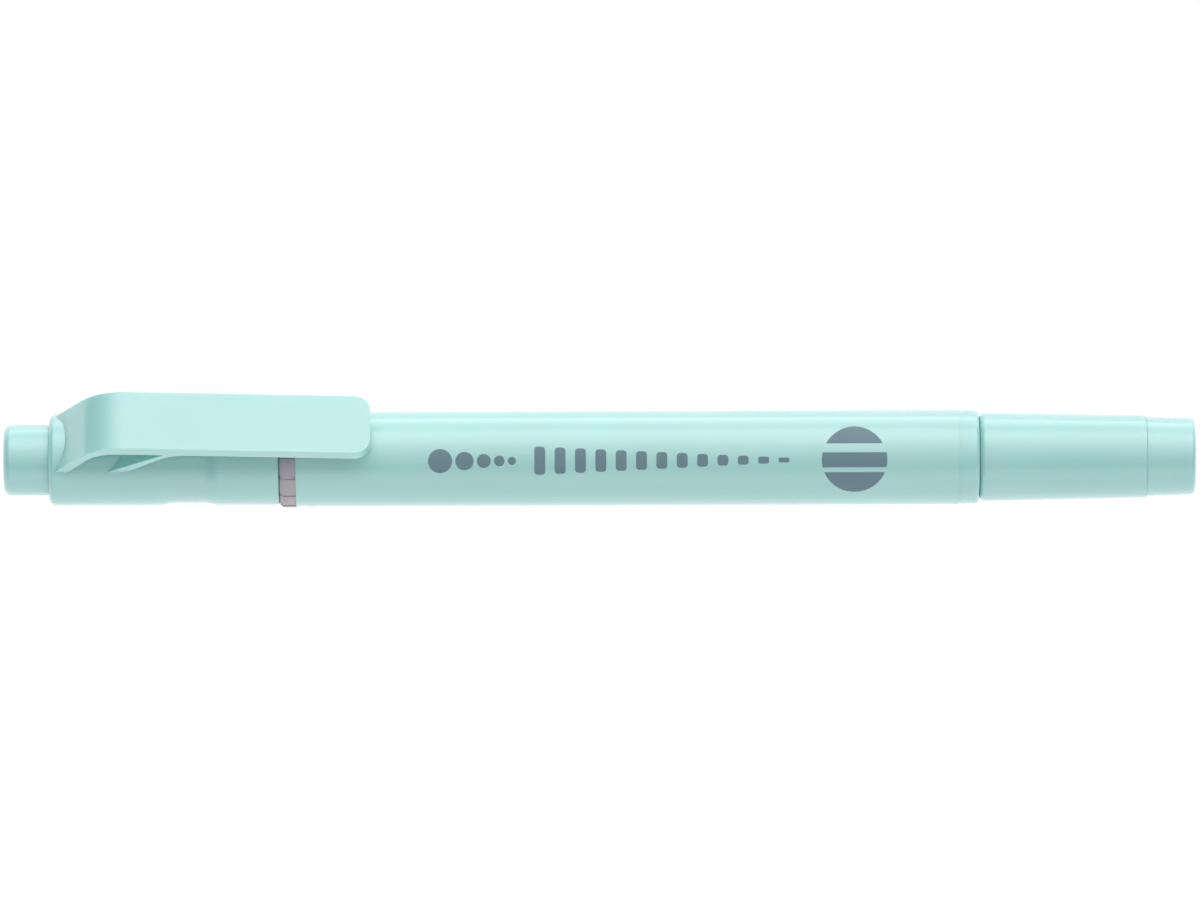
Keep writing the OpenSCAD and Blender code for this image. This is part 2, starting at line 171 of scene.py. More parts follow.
def round_ring(piece, r, x, size, segments=5):
    """Bevels the ring of edges at one radius and station, which rounds that corner."""
    pick(piece, lambda px, py, ph: abs(px - x) < NEAR and abs(math.hypot(py, ph) - r) < NEAR)
    bpy.ops.mesh.bevel(offset=size * MM, segments=segments, profile=0.5, affect="EDGES")
    bpy.ops.object.mode_set(mode="OBJECT")


def apply(piece, kind, **settings):
    """Adds a modifier with its settings and applies it."""
    only(piece)
    bpy.ops.object.modifier_add(type=kind)
    modifier = piece.modifiers[-1]
    for key, value in settings.items():
        setattr(modifier, key, value)
    bpy.ops.object.modifier_apply(modifier=modifier.name)


def smooth(piece, angle=32):
    """Smooth shading up to an angle, with normals ruled by the big faces."""
    only(piece)
    bpy.ops.object.shade_smooth_by_angle(angle=math.radians(angle))
    apply(piece, "WEIGHTED_NORMAL", keep_sharp=True, weight=80)
    print(f"{piece.name}: {len(piece.data.polygons)} faces")
    return piece


# %% [markdown]
# Four finishes cover the outside. The mint parts are moulded polypropylene, a waxy plastic that lets a
# little light in under its skin. The printed film is the same colour but glossier. The broad tip's
# holder is grey moulded plastic, a touch duller. The marks are screen-printed ink. Each is a Principled
# shader fed by noise in Object coordinates, so no piece needs a UV map. The nodes are made by one small
# function, and colours are written as sRGB hex and turned to linear light by another.

# %% Helpers for the materials
def linear(code):
    """Linear RGBA from an sRGB hex code."""
    channels = [int(code[i : i + 2], 16) / 255 for i in (1, 3, 5)]
    return [c / 12.92 if c <= 0.04045 else ((c + 0.055) / 1.055) ** 2.4 for c in channels] + [1.0]


def add(tree, kind, inputs=(), **settings):
    """Adds a node with its settings, and sets or links its inputs."""
    made = tree.nodes.new(kind)
    for key, value in settings.items():
        setattr(made, key, value)
    for key, value in dict(inputs).items():
        if isinstance(value, bpy.types.NodeSocket):
            tree.links.new(value, made.inputs[key])
        else:
            made.inputs[key].default_value = value
    return made


def new_material(name):
    """An empty material and its tree, with an output node and Object coordinates."""
    material = bpy.data.materials.new(name)
    material.use_nodes = True
    tree = material.node_tree
    tree.nodes.clear()
    place = add(tree, "ShaderNodeTexCoord").outputs["Object"]
    return material, tree, place


def finish_shader(tree, **inputs):
    """The Principled shader, joined to the material's output."""
    named = {key.replace("_", " "): value for key, value in inputs.items()}
    shader = add(tree, "ShaderNodeBsdfPrincipled", named)
    add(tree, "ShaderNodeOutputMaterial", {"Surface": shader.outputs["BSDF"]})


def noise(tree, place, size_mm, detail=2.0):
    """Noise whose features are about size_mm across."""
    inputs = {"Vector": place, "Scale": 1 / (size_mm * MM), "Detail": detail}
    return add(tree, "ShaderNodeTexNoise", inputs)


def between(tree, factor, low, high):
    """A number that runs from low to high as factor runs from 0.3 to 0.7."""
    inputs = {"Value": factor, "From Min": 0.3, "From Max": 0.7, "To Min": low, "To Max": high}
    return add(tree, "ShaderNodeMapRange", inputs).outputs["Result"]


def two_tones(tree, factor, first, second):
    """A colour that runs between two hex codes."""
    mix = add(tree, "ShaderNodeMix", {0: factor}, data_type="RGBA")
    mix.inputs[6].default_value = linear(first)
    mix.inputs[7].default_value = linear(second)
    return mix.outputs[2]


def bump(tree, height, depth_mm, strength=1.0):
    """Small relief of a real depth."""
    return add(
        tree, "ShaderNodeBump", {"Height": height, "Distance": depth_mm * MM, "Strength": strength}
    ).outputs["Normal"]


# %% [markdown]
# Moulded polypropylene: the pigment is even, so the colour only drifts a little where the melt flowed.
# The skin copies the steel of the mould, which leaves a soft gloss and a grain of about 0.05 mm. That is
# too fine to show, so it is drawn 1 mm wide, or 2 mm on the film, and very shallow. A little light
# travels under the skin of the moulded parts, but not in the film, which is too thin for it.

# %% Mint polypropylene and glossy film
def moulded_mint(name, light, deep, gloss, grain_mm, depth_mm, under_skin):
    """Glossy mint plastic, with some light under its skin."""
    material, tree, place = new_material(name)
    flow = noise(tree, place, 9.0, detail=1.0).outputs["Fac"]
    grain = noise(tree, place, grain_mm, detail=1.0).outputs["Fac"]
    finish_shader(
        tree,
        Base_Color=two_tones(tree, between(tree, flow, 0.0, 1.0), light, deep),
        Roughness=between(tree, grain, gloss - 0.02, gloss + 0.02),
        IOR=1.49,
        Specular_IOR_Level=1.0,
        Subsurface_Weight=under_skin,
        Subsurface_Radius=(0.25, 1.0, 0.95),
        Subsurface_Scale=1.2 * MM,
        Coat_Weight=0.8,
        Coat_Roughness=gloss * 0.8,
        Normal=bump(tree, grain, depth_mm),
    )
    return material


MINT = moulded_mint("moulded_polypropylene_mint", "#A6DDDB", "#A4DBD9", 0.24, 1.0, 0.0002, 0.3)
FILM = moulded_mint("glossy_shrink_film_mint", "#A7DEDB", "#A5DCD9", 0.22, 2.0, 0.0002, 0.0)
print("mint finishes:", MINT.name, FILM.name)


# %% [markdown]
# The grey holder is moulded from a filled plastic that hides fingerprints, so it is duller and shows a
# relief of its own. The ink of the printed marks is duller than the glossy film it lies on.

# %% Grey plastic and print
def plain_plastic(name, light, deep, gloss, grain_mm, depth_mm):
    """Plastic or ink that lets no light in."""
    material, tree, place = new_material(name)
    grain = noise(tree, place, grain_mm, detail=3.0).outputs["Fac"]
    cloud = noise(tree, place, 4.0, detail=1.0).outputs["Fac"]
    finish_shader(
        tree,
        Base_Color=two_tones(tree, between(tree, cloud, 0.0, 1.0), light, deep),
        Roughness=between(tree, grain, gloss - 0.05, gloss + 0.05),
        IOR=1.5,
        Normal=bump(tree, grain, depth_mm),
    )
    return material


GREY = plain_plastic("moulded_plastic_grey", "#B6B1B7", "#B0ABB2", 0.42, 0.3, 0.001)
INK = plain_plastic("screen_printed_ink_slate", "#6A8894", "#6F8C98", 0.45, 0.5, 0.001)
print("grey and print:", GREY.name, INK.name)


# %% [markdown]
# Both nibs and the reservoir are bundles of fine polyester fibres that run along the pen and are soaked
# with ink. Noise stretched along X gives the lengthwise streaks, and the same noise lifts the surface
# so that the light breaks up on it. Real fibres are about 0.02 mm thick, too fine to show, so the
# streaks are drawn 0.12 mm wide on the nibs and 0.2 mm wide on the reservoir.

# %% Soaked fibre
def bonded_fibre(name, light, deep, streak_mm, depth_mm):
    """Fibre with streaks along the pen."""
    material, tree, place = new_material(name)
    stretched = add(tree, "ShaderNodeMapping", {"Vector": place, "Scale": (0.06, 1, 1)}).outputs["Vector"]
    streaks = noise(tree, stretched, streak_mm, detail=4.0).outputs["Fac"]
    finish_shader(
        tree,
        Base_Color=two_tones(tree, between(tree, streaks, 0.0, 1.0), deep, light),
        Roughness=between(tree, streaks, 0.85, 0.7),
        Sheen_Weight=0.25,
        Normal=bump(tree, streaks, depth_mm),
    )
    return material


NIB_FIBRE = bonded_fibre("bonded_polyester_fibre_soaked", "#BFEBDD", "#93D3C3", 0.12, 0.02)
ROD_FIBRE = bonded_fibre("loose_polyester_fibre_soaked", "#CDF0E4", "#9AD8C8", 0.2, 0.04)


def clear_film():
    """The clear wrap round the reservoir."""
    material, tree, place = new_material("clear_polypropylene_film")
    wrinkle = noise(tree, place, 1.5).outputs["Fac"]
    finish_shader(
        tree,
        Base_Color=linear("#E6F1F3"),
        Roughness=between(tree, wrinkle, 0.12, 0.2),
        IOR=1.49,
        Alpha=0.35,
        Normal=bump(tree, wrinkle, 0.01),
    )
    return material


WRAP = clear_film()
print("fibres:", NIB_FIBRE.name, ROD_FIBRE.name)


# %% [markdown]
# Each finished piece is fitted in the same three steps: it gets its material, it rides on the body that
# carries the real one, and it takes the place of the CAD node it stands for.

# %% Fitting a piece to the frame
def cover(piece, material):
    """Gives a piece one material in place of any it had."""
    piece.data.materials.clear()
    piece.data.materials.append(material)


def fit(piece, material, slot, body, *nodes):
    """Material, body and CAD node of a piece that rides on one body."""
    cover(piece, material)
    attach(piece, body)
    if nodes:
        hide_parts(*nodes)


# %% [markdown]
# The barrel is a plain extruded tube, and only its bare end shows, as a narrow collar past the film. Its
# outer corner is rounded so that the gap to the small cap reads as a soft groove. A bevel on one ring
# of edges rounds it without touching the rest.

# %% Barrel
BORE_R = 4.55
barrel_tube = turned(
    "barrel_tube",
    [(BORE_R, BARREL_X0), (BARREL_R, BARREL_X0), (BARREL_R, BARREL_X1), (BORE_R, BARREL_X1)],
)
round_ring(barrel_tube, BARREL_R, BARREL_X1, 0.5, segments=6)
round_ring(barrel_tube, BORE_R, BARREL_X1, 0.12, segments=2)
fit(smooth(barrel_tube), MINT, "mint_moulded", "barrel", "barrel")

# %% [markdown]
# The film is a sleeve 0.06 mm thick, shrunk tight on the barrel. Its two cut edges are the only sign of
# it, a step as thin as paper, so it is a real sleeve with a thickness and not a line in a texture.

# %% Printed film
film = turned(
    "printed_film",
    [(BARREL_R, FILM_X0), (FILM_R, FILM_X0), (FILM_R, FILM_X1), (BARREL_R, FILM_X1)],
    sides=128,
)
round_ring(film, FILM_R, FILM_X0, 0.03, segments=2)
round_ring(film, FILM_R, FILM_X1, 0.03, segments=2)
fit(smooth(film), FILM, "printed_film", "barrel", "label_film")

# %% [markdown]
# The grey holder carries the broad nib. From front to back it has a mouth with a slot, a nose that the
# inner cap seals on, a shoulder, a spigot with a snap bead, the grooved ring, and a plug that goes into
# the barrel. It is turned with 84 sides, six for each of the 14 grooves, so one face in six is exactly
# a groove wide. Those faces are extruded and scaled towards the axis, which sinks the grooves.

# %% Grey holder with its grooved ring
GROOVES = 14
SIDES_PER_GROOVE = 6
GROOVE_DEPTH = 0.1
RING_X1 = FILM_X0 - RING_GAP
NOSE_R, SPIGOT_R, PLUG_R, HOLDER_BORE_R = 3.47, 4.68, 4.52, 3.75
BEVEL_H, BEVEL_L = 0.3, 0.39
BEAD_X, BEAD_H, BEAD_W = RING_X0 - 3.95, 0.06, 0.5
HOLDER_MOUTH_R, SHOULDER_DROP = 3.05, 0.4
NOSE_X0, NOSE_X1, STEM_HOLE_X1 = MOUTH_X + 2.9, MOUTH_X + 6.7, MOUTH_X + 10
SHOULDER_X0, SHOULDER_X1 = RING_X0 - 9.55, RING_X0 - 9.05
holder = turned(
    "grey_holder",
    [
        (HUB_R, MOUTH_X),
        (HOLDER_MOUTH_R, MOUTH_X),
        (NOSE_R, NOSE_X0),
        (NOSE_R, NOSE_X1),
        (SPIGOT_R - SHOULDER_DROP, SHOULDER_X0),
        (SPIGOT_R, SHOULDER_X1),
        (SPIGOT_R, BEAD_X - BEAD_W),
        (SPIGOT_R + BEAD_H, BEAD_X - BEAD_W / 2),
        (SPIGOT_R + BEAD_H, BEAD_X + BEAD_W / 2),
        (SPIGOT_R, BEAD_X + BEAD_W),
        (SPIGOT_R, RING_X0),
        (RING_R - BEVEL_H, RING_X0),
        (RING_R, RING_X0 + BEVEL_L),
        (RING_R, RING_X1),
        (PLUG_R, RING_X1),
        (PLUG_R, HOLDER_X1),
        (HOLDER_BORE_R, HOLDER_X1),
        (HOLDER_BORE_R, STEM_HOLE_X1),
        (HUB_R, STEM_HOLE_X1),
    ],
    sides=GROOVES * SIDES_PER_GROOVE,
    hollow=False,
)
half_side = Matrix.Rotation(math.pi / (GROOVES * SIDES_PER_GROOVE), 4, "X")
holder.data.transform(Matrix.Translation(at(0)) @ half_side @ Matrix.Translation(-at(0)))
groove_half = math.pi / (GROOVES * SIDES_PER_GROOVE) + 0.002


def in_groove(x, y, h):
    """True on the ring's rim and bevel, at the angles of the grooves."""
    turn = (math.atan2(y, h) + groove_half) % (2 * math.pi / GROOVES)
    on_ring = RING_X0 - 0.01 < x < RING_X1 + 0.01
    return on_ring and math.hypot(y, h) > RING_R - BEVEL_H - 0.01 and turn < 2 * groove_half


pick(holder, in_groove)
bpy.ops.mesh.extrude_region_move(TRANSFORM_OT_translate={"value": (0, 0, 0)})
sink = 1 - GROOVE_DEPTH / RING_R
bpy.ops.transform.resize(value=(1, sink, sink), center_override=at(0))
bpy.ops.object.mode_set(mode="OBJECT")
round_ring(holder, HOLDER_MOUTH_R, MOUTH_X, 0.2, segments=3)
round_ring(holder, NOSE_R, NOSE_X0, 0.15, segments=2)

# %% [markdown]
# The nib comes out of a slot in the holder's mouth. A block a little larger than the nib is subtracted
# with a Boolean modifier, which leaves a slot with a true edge, and the block is then deleted.

# %% Slot for the nib
NIB_W, NIB_T, SLOT_GAP = 4.4, 2.5, 0.05
bpy.ops.object.select_all(action="DESELECT")
bpy.ops.mesh.primitive_cube_add(
    size=1,
    location=at(MOUTH_X + 3),
    scale=(8 * MM, (NIB_W + 2 * SLOT_GAP) * MM, (NIB_T + 2 * SLOT_GAP) * MM),
)
slot_cutter = bpy.context.object
bpy.ops.object.transform_apply(location=True, rotation=True, scale=True)
apply(holder, "BOOLEAN", operation="DIFFERENCE", object=slot_cutter, solver="EXACT")
bpy.data.objects.remove(slot_cutter)
fit(smooth(holder), GREY, "grey_moulded", "barrel", "chisel_holder")

# %% [markdown]
# The broad nib is one block of bonded fibre. Outside the holder it thins to an edge, the edge is cut on
# a slant, and the block is soft enough to bend at the mouth. It starts as a cube around the stem, its
# end face is extruded in short steps where it will bend, a bisecting plane makes the slanted cut, and
# a small bevel takes off the sharpness that fibre never keeps.

# %% Broad nib
NIB_EDGE_T, NIB_TAPER = 1.2, 3.2
NIB_SLANT, NIB_BEVEL, NIB_CUT_IN = 1.8, 0.14, 0.3
NIB_ROOT, NIB_STEP, NIB_STEPS = 1, 0.4, 8
bpy.ops.object.select_all(action="DESELECT")
bpy.ops.mesh.primitive_cube_add(
    size=1,
    location=at((STEM_X1 + MOUTH_X + NIB_ROOT) / 2),
    scale=((STEM_X1 - MOUTH_X - NIB_ROOT) * MM, NIB_W * MM, NIB_T * MM),
)
nib = bpy.context.object
nib.name = nib.data.name = "broad_nib"
bpy.ops.object.transform_apply(location=True, rotation=True, scale=True)
pick(nib, lambda x, y, h: x < MOUTH_X + NIB_ROOT + 0.01)
nib_steps = [MOUTH_X + NIB_ROOT - NIB_STEP * i for i in range(NIB_STEPS + 1)]
for start, stop in zip(nib_steps, nib_steps[1:]):
    bpy.ops.mesh.extrude_region_move(TRANSFORM_OT_translate={"value": ((stop - start) * MM, 0, 0)})
wedge_x = NIB_X + NIB_TAPER
for start, stop in ((nib_steps[-1], wedge_x), (wedge_x, NIB_X)):
    bpy.ops.mesh.extrude_region_move(TRANSFORM_OT_translate={"value": ((stop - start) * MM, 0, 0)})
bpy.ops.transform.resize(value=(1, 1, NIB_EDGE_T / NIB_T), center_override=at(NIB_X))
bpy.ops.mesh.select_all(action="SELECT")
bpy.ops.mesh.bisect(
    plane_co=at(NIB_X, -NIB_W / 2 + NIB_CUT_IN),
    plane_no=Vector((NIB_W, NIB_SLANT, 0)).normalized() * -1,
    use_fill=True,
    clear_outer=True,
)
close_up(nib)
apply(nib, "BEVEL", width=NIB_BEVEL * MM, segments=3, limit_method="ANGLE", angle_limit=math.radians(35))
smooth(nib, angle=60)
cover(nib, NIB_FIBRE)
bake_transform(nib)
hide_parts("chisel_nib", "chisel_nib_stem")

# %% [markdown]
# The fine end mirrors the broad one with simpler parts. Its holder is a turned mint piece, dark in the
# narrow gap between barrel and cap, and its nib is a round fibre rod with a tapered, rounded point.

# %% Fine holder and fine nib
FINE_SPIGOT_R, FINE_NOSE_R, FINE_NIB_R, FINE_BORE_R = 4.35, 2.95, 1.1, 3.6
FINE_BEAD_X, FINE_BEAD_H = BARREL_X1 + 3.9, 0.04
FINE_SHOULDER_X0, FINE_SHOULDER_X1, FINE_SHOULDER_DROP = BARREL_X1 + 7.9, BARREL_X1 + 8.4, 0.4
FINE_NOSE_X0, FINE_NOSE_X1 = BARREL_X1 + 10.3, FINE_MOUTH_X - 3.2
FINE_PLUG_X1, FINE_HOLE_X0 = BARREL_X1 - 0.15, BARREL_X1 + 6.4
FINE_MOUTH_R, FINE_HOLE_R = FINE_NIB_R + 0.65, FINE_NIB_R + 0.02
fine_holder = turned(
    "fine_tip_holder",
    [
        (FINE_BORE_R, FINE_X0),
        (PLUG_R, FINE_X0),
        (PLUG_R, FINE_PLUG_X1),
        (FINE_SPIGOT_R, FINE_PLUG_X1),
        (FINE_SPIGOT_R, FINE_BEAD_X - BEAD_W),
        (FINE_SPIGOT_R + FINE_BEAD_H, FINE_BEAD_X),
        (FINE_SPIGOT_R, FINE_BEAD_X + BEAD_W),
        (FINE_SPIGOT_R, FINE_SHOULDER_X0),
        (FINE_SPIGOT_R - FINE_SHOULDER_DROP, FINE_SHOULDER_X1),
        (FINE_NOSE_R, FINE_NOSE_X0),
        (FINE_NOSE_R, FINE_NOSE_X1),
        (FINE_MOUTH_R, FINE_MOUTH_X),
        (FINE_HOLE_R, FINE_MOUTH_X),
        (FINE_HOLE_R, FINE_HOLE_X0),
        (FINE_BORE_R, FINE_HOLE_X0),
    ],
)
round_ring(fine_holder, FINE_MOUTH_R, FINE_MOUTH_X, 0.2, segments=3)
round_ring(fine_holder, FINE_NOSE_R, FINE_NOSE_X1, 0.4, segments=4)
round_ring(fine_holder, FINE_NOSE_R, FINE_NOSE_X0, 0.3, segments=3)
fit(smooth(fine_holder), MINT, "mint_moulded", "barrel", "fine_holder")

POINT_R, POINT_ANGLES = 0.4, (0.2, 0.6, 1.0, 1.4)
ROD_TAPER_X = FINE_MOUTH_X + 0.4
point = [
    (POINT_R * math.cos(a), FINE_TIP_X - POINT_R + POINT_R * math.sin(a)) for a in POINT_ANGLES
]
fine_nib = turned(
    "fine_nib_rod",
    [
        (FINE_NIB_R / 2, FINE_NIB_X0),
        (FINE_NIB_R, FINE_NIB_X0 + 1),
        (FINE_NIB_R, ROD_TAPER_X),
        *point,
    ],
    sides=48,
    hollow=False,
)
round_ring(fine_nib, FINE_NIB_R, ROD_TAPER_X, 0.4, segments=4)
fit(smooth(fine_nib), NIB_FIBRE, "nib_fibre", "barrel", "fine_nib")

# %% [markdown]
# The big cap's shell is a moulded tube. Its closed edge and its rim are rounded, and a shallow waist
# round its middle gives the fingers a grip. The waist's two slopes are drawn with half a cosine wave,
# so that the highlight runs through them without a kink.

# %% Big cap's shell
WAIST_START, WAIST_DEPTH = 12.8, 0.29
WAIST_IN, WAIST_FLAT, WAIST_OUT = 2.6, 3.3, 1.9
CAP_BORE_R, POST_R, SEAT_R = 4.82, 4.3, 4.5
FLANGE_X0 = CAP_X1 - 13.4
SNAP_DEPTH, SEAT_GAP = 0.1, 0.03


def slope(x0, length, r0, r1, steps=6):
    """Outline points of a soft slope from one radius to another."""
    eased = [(i / steps, (1 - math.cos(math.pi * i / steps)) / 2) for i in range(steps + 1)]
    return [(r0 + (r1 - r0) * rise, x0 + length * run) for run, rise in eased]


waist_x = CAP_X0 + WAIST_START
cap_tube = turned(
    "big_cap_shell",
    [
        (SEAT_R + SEAT_GAP, CAP_X0),
        (CAP_R, CAP_X0),
        *slope(waist_x, WAIST_IN, CAP_R, CAP_R - WAIST_DEPTH),
        *slope(waist_x + WAIST_IN + WAIST_FLAT, WAIST_OUT, CAP_R - WAIST_DEPTH, CAP_R),
        (CAP_R, CAP_X1),
        (CAP_BORE_R, CAP_X1),
        (CAP_BORE_R, BEAD_X + 2 * BEAD_W),
        (CAP_BORE_R + SNAP_DEPTH, BEAD_X + BEAD_W),
        (CAP_BORE_R + SNAP_DEPTH, BEAD_X - BEAD_W),
        (CAP_BORE_R, BEAD_X - 2 * BEAD_W),
        (CAP_BORE_R, FLANGE_X0),
        (SEAT_R + SEAT_GAP, FLANGE_X0),
    ],
    sides=128,
)
round_ring(cap_tube, CAP_R, CAP_X0, 0.75, segments=8)
round_ring(cap_tube, CAP_R, CAP_X1, 0.35, segments=5)
round_ring(cap_tube, CAP_BORE_R, CAP_X1, 0.15, segments=3)
fit(smooth(cap_tube), MINT, "mint_moulded", "big_cap", "cap_shell")

# %% [markdown]
# The inner cap is pressed into the shell. Its open end seals round the broad tip's nose, and its closed
# end stands out as the round post that the small cap can be stored on. It is one cup, turned from the
# middle of its floor, up the bore, round the flange at its mouth and back along the outside to the
# slightly domed end.

# %% Inner cap and its post
INNER_BORE_R, INNER_FLOOR, END_DOME, POST_ROUND = 3.55, 1.6, 0.1, 0.85
LEAD_IN, FLANGE_R = 0.4, CAP_BORE_R - 0.04
inner_cap = turned(
    "inner_cap_post",
    [
        (HUB_R, POST_X + INNER_FLOOR),
        (INNER_BORE_R, POST_X + INNER_FLOOR),
        (INNER_BORE_R, INNER_MOUTH_X - LEAD_IN),
        (INNER_BORE_R + LEAD_IN, INNER_MOUTH_X),
        (FLANGE_R, INNER_MOUTH_X),
        (FLANGE_R, FLANGE_X0),
        (SEAT_R, FLANGE_X0),
        (SEAT_R, CAP_X0),
        (POST_R, CAP_X0),
        (POST_R, POST_X + END_DOME),
        (POST_R * 0.6, POST_X + END_DOME * 0.35),
        (HUB_R, POST_X),
    ],
    sides=128,
    hollow=False,
)
round_ring(inner_cap, POST_R, POST_X + END_DOME, POST_ROUND, segments=8)
round_ring(inner_cap, INNER_BORE_R, POST_X + INNER_FLOOR, 0.5, segments=4)
fit(smooth(inner_cap), MINT, "mint_moulded", "big_cap", "inner_cap")

# %% [markdown]
# The small cap has two mouldings. The shell tapers from the rim, which has a little bevel, to the far
# end, and the plug closes it: a sleeve inside seals on the fine holder's nose, and the tail outside
# tapers on and ends in a soft corner and a faint dome.

# %% Small cap
SMALL_RIM_R = radius("small_cap_shell")
SMALL_END_R, SMALL_BORE_R = 4.98, 4.45
RIM_BEVEL_H, RIM_BEVEL_L = 0.4, 0.45
SLEEVE_R, SLEEVE_BORE_R, SLEEVE_STEP = 4.12, 3.05, 0.3
TAIL_R, TAIL_END_R, TAIL_FLOOR, TAIL_DOME = 4.8, 4.63, 1.6, 0.12
TAIL_X0 = SMALL_X1 + 0.02
small_shell = turned(
    "small_cap_tube",
    [
        (SMALL_RIM_R - RIM_BEVEL_H, SMALL_X0),
        (SMALL_RIM_R, SMALL_X0 + RIM_BEVEL_L),
        (SMALL_END_R, SMALL_X1),
        (SLEEVE_R + SEAT_GAP, SMALL_X1),
        (SLEEVE_R + SEAT_GAP, SLEEVE_X0 - SLEEVE_STEP),
        (SMALL_BORE_R, SLEEVE_X0 - SLEEVE_STEP),
        (SMALL_BORE_R, FINE_BEAD_X + 2 * BEAD_W),
        (SMALL_BORE_R + SNAP_DEPTH, FINE_BEAD_X + BEAD_W),
        (SMALL_BORE_R + SNAP_DEPTH, FINE_BEAD_X - BEAD_W),
        (SMALL_BORE_R, FINE_BEAD_X - 2 * BEAD_W),
        (SMALL_BORE_R, SMALL_X0),
    ],
    sides=128,
)
round_ring(small_shell, SMALL_RIM_R, SMALL_X0 + RIM_BEVEL_L, 0.2, segments=4)
round_ring(small_shell, SMALL_RIM_R - RIM_BEVEL_H, SMALL_X0, 0.12, segments=3)
round_ring(small_shell, SMALL_BORE_R, SMALL_X0, 0.15, segments=3)
round_ring(small_shell, SMALL_END_R, SMALL_X1, 0.08, segments=3)
fit(smooth(small_shell), MINT, "mint_moulded", "small_cap", "small_cap_shell")

small_tail = turned(
    "small_cap_plug",
    [
        (HUB_R, TAIL_X - TAIL_FLOOR),
        (SLEEVE_BORE_R, TAIL_X - TAIL_FLOOR),
        (SLEEVE_BORE_R, SLEEVE_X0 + SLEEVE_STEP),
        (SLEEVE_BORE_R + SLEEVE_STEP, SLEEVE_X0),
        (SLEEVE_R, SLEEVE_X0),
        (SLEEVE_R, TAIL_X0),
        (TAIL_R, TAIL_X0),
        (TAIL_END_R, TAIL_X - TAIL_DOME),
        (TAIL_END_R * 0.6, TAIL_X - TAIL_DOME * 0.35),
        (HUB_R, TAIL_X),
    ],
    sides=128,
    hollow=False,
)
round_ring(small_tail, TAIL_END_R, TAIL_X - TAIL_DOME, 0.5, segments=6)
round_ring(small_tail, TAIL_R, TAIL_X0, 0.05, segments=2)
round_ring(small_tail, SLEEVE_BORE_R, TAIL_X - TAIL_FLOOR, 0.4, segments=4)
fit(smooth(small_tail), MINT, "mint_moulded", "small_cap", "small_cap_tail")

# %% [markdown]
# The clip is the one piece that isn't turned. Seen from the side it is a strip that climbs from the
# shell, bends over a crest and runs on as a springing plate, with a second leg bracing it underneath.
# So the side view is drawn first, as a sheet: an edge is extruded from station to station, and then
# the second leg is pulled out of the strip's underside. Extruding the sheet sideways gives the width.

# %% Side view of the clip
CLIP_W, CLIP_T, CLIP_TOP, CLIP_FALL = 7.7, 1.6, 10.15, 2.6
CREST_X = CAP_X0 + 9.2
HINGE_X = CAP_X1 - 10.7
RAMP_R, RAMP_SLOPE, LEG_R, LEG_SLOPE = 6.9, 50, 4.2, 52
BRACE_R, BRACE_SLOPE, TUNNEL_SLOPE, FOOT_H = 5.0, 38, 32.2, 3.0
BRACE_TOP_X, TUNNEL_TIP_X = HINGE_X - 0.6, HINGE_X - 3.1
HEEL_H, HEEL_SLOPE = 4.85, 24
HEEL_BENDS = ((0.75, 4.35), (1.9, 3.9))
UPPER_SHARES = (0.06, 0.13, 0.21, 0.3, 0.4, 0.66, 0.78, 0.88, 1)
LOWER_SHARES = (0.2, 0.4, 0.6, 0.8, 1)


def on_arc(centre, r, angle):
    """Point on an arc, as (station, height), at an angle to the left of straight up."""
    a = math.radians(angle)
    return centre[0] - r * math.sin(a), centre[1] + r * math.cos(a)


def down_slope(point, angle, h):
    """Point where a straight that falls to the left at an angle reaches a height."""
    return point[0] - (point[1] - h) / math.tan(math.radians(angle)), h


def plate(x):
    """Top and underside of the plate at a station."""
    top = CLIP_TOP - (x - CREST_X) * math.tan(math.radians(CLIP_FALL))
    return (x, top), (x, top - CLIP_T)


ramp_c, leg_c = (CREST_X, CLIP_TOP - RAMP_R), (CREST_X - 1.2, CLIP_TOP - CLIP_T - LEG_R)
shares = [1 - i / 12 for i in range(13)]
ramp = [(on_arc(ramp_c, RAMP_R, RAMP_SLOPE * k), on_arc(leg_c, LEG_R, LEG_SLOPE * k)) for k in shares]
feet = (down_slope(ramp[0][0], RAMP_SLOPE, FOOT_H), down_slope(ramp[0][1], LEG_SLOPE, FOOT_H))
BEND_STEP, PLATE_START, PLATE_STEP = 0.3, 2.5, 2.4
near_hinge = [HINGE_X - BEND_STEP + BEND_STEP * i for i in range(8)]
free_plate = [HINGE_X + PLATE_START + PLATE_STEP * i for i in range(8)]
along_plate = [CREST_X + 2, TUNNEL_TIP_X, BRACE_TOP_X, *near_hinge, *free_plate, CLIP_TIP_X]
stations = [feet, *ramp] + [plate(x) for x in along_plate]


def pull_edge(piece, old, new):
    """Extrudes the edge between two side-view points and brings its ends to two new ones."""
    def near(*points):
        return lambda x, y, h: any(math.hypot(x - p[0], h - p[1]) < 0.003 for p in points)

    def shift(a, b):
        return ((b[0] - a[0]) * MM, 0, (b[1] - a[1]) * MM)

    pick(piece, near(*old))
    bpy.ops.mesh.extrude_edges_move(TRANSFORM_OT_translate={"value": shift(old[0], new[0])})
    carried = (old[1][0] + new[0][0] - old[0][0], old[1][1] + new[0][1] - old[0][1])
    pick(piece, near(carried))
    bpy.ops.transform.translate(value=shift(carried, new[1]))


